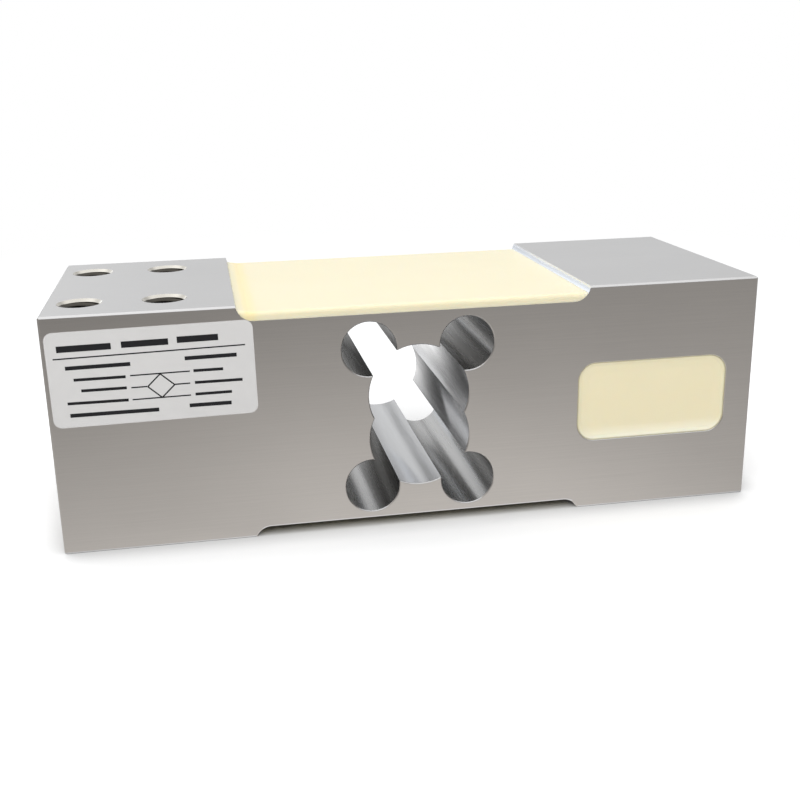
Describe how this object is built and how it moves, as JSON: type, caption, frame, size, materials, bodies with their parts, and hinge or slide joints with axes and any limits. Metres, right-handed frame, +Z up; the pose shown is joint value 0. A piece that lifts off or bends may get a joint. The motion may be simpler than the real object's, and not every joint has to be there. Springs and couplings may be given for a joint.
{
  "type": "single point load cell",
  "caption": "Machined aluminium bending beam that weighs a load on one end: a lobed flexure cavity through it, potted gauge recesses, a potted side pocket and tapped ends.",
  "frame": {"origin": "middle of the beam's underside", "axes": "+X along the beam from the load end to the base end, -Y out of the front face that has the label and the side pocket, +Z up"},
  "size_m": [0.15, 0.0581, 0.05],
  "materials": {
    "milled_aluminium": "milled and fine brushed, bare",
    "gauge_laminate": "amber polyimide film under constantan foil",
    "strip_copper": "bare copper pads on a thin laminate",
    "tinned_copper": "bright tinned flat ribbon",
    "wire_enamel": "copper wire under clear brown enamel",
    "solder": "smooth solder",
    "board_laminate": "green solder mask on a glass laminate",
    "chip_ceramic": "dark glaze on a ceramic chip",
    "nickel_chip": "grey glaze over a nickel foil chip",
    "recess_potting": "pale cream silicone, satin",
    "pocket_potting": "pale cream silicone, satin",
    "label_foil": "silver grey printed film"
  },
  "bodies": {
    "root": {"beam_body": "milled_aluminium", "top_gauge_load_end": "gauge_laminate", "top_gauge_base_end": "gauge_laminate", "top_terminal_strip": "strip_copper", "top_jumper_ribbons": "tinned_copper", "top_lead_wires": "wire_enamel", "top_solder_joints": "solder", "bottom_gauge_load_end": "gauge_laminate", "bottom_gauge_base_end": "gauge_laminate", "bottom_terminal_strip": "strip_copper", "bottom_jumper_ribbons": "tinned_copper", "bottom_lead_wires": "wire_enamel", "bottom_solder_joints": "solder", "trim_board": "board_laminate", "board_solder_joints": "solder", "zero_trim_resistor": "chip_ceramic", "zero_temperature_resistor": "chip_ceramic", "span_trim_resistors": "chip_ceramic", "span_temperature_resistors": "nickel_chip", "top_potting": "recess_potting", "bottom_potting": "recess_potting", "side_potting": "pocket_potting", "rating_label": "label_foil"}
  },
  "joints": []
}
